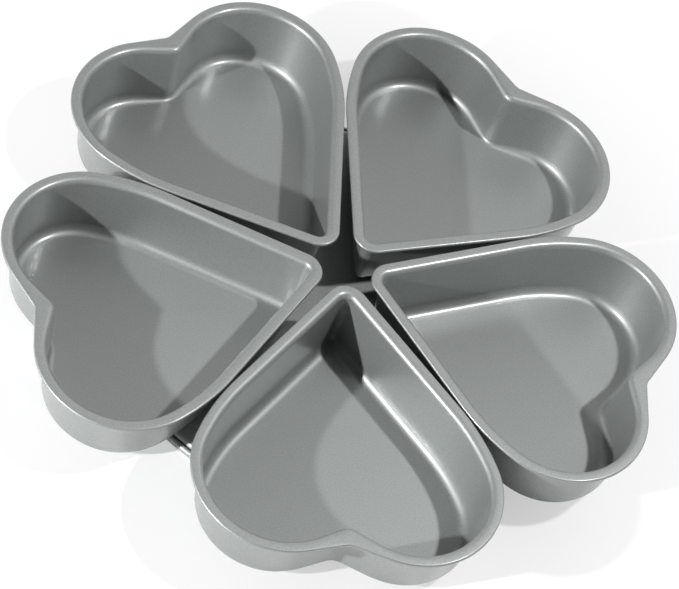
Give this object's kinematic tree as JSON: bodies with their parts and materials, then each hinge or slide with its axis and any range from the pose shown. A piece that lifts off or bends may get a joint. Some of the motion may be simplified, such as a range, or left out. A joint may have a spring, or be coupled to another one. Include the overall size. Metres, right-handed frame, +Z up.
{
  "type": "heart cake pan set",
  "caption": "Heart-shaped cake pans with flat flanges and leaning walls, standing tips inward like petals on a shallow round tray with a rolled rim.",
  "frame": {"origin": "centre of the ring on which the tray's rolled rim stands, at the height of the table", "axes": "+Z up; -Y from the middle towards the cleft of the front pan; the set is the same on both sides of the plane X = 0"},
  "size_m": [0.3676, 0.3544, 0.0465],
  "materials": {
    "pan_coating": "satin silver-grey non-stick coating on drawn steel sheet",
    "tray_coating": "satin grey non-stick coating on pressed steel sheet"
  },
  "bodies": {
    "tray": {"tray": "tray_coating"},
    "pan_front": {"pan_front": "pan_coating"},
    "pan_right_front": {"pan_right_front": "pan_coating"},
    "pan_right_back": {"pan_right_back": "pan_coating"},
    "pan_left_back": {"pan_left_back": "pan_coating"},
    "pan_left_front": {"pan_left_front": "pan_coating"}
  },
  "joints": [
    {"name": "lift_front", "type": "slide", "parent": "tray", "child": "pan_front", "axis": [0, 0, 1], "range_m": [0, 0.06]},
    {"name": "lift_right_front", "type": "slide", "parent": "tray", "child": "pan_right_front", "axis": [0, 0, 1], "range_m": [0, 0.06]},
    {"name": "lift_right_back", "type": "slide", "parent": "tray", "child": "pan_right_back", "axis": [0, 0, 1], "range_m": [0, 0.06]},
    {"name": "lift_left_back", "type": "slide", "parent": "tray", "child": "pan_left_back", "axis": [0, 0, 1], "range_m": [0, 0.06]},
    {"name": "lift_left_front", "type": "slide", "parent": "tray", "child": "pan_left_front", "axis": [0, 0, 1], "range_m": [0, 0.06]}
  ]
}
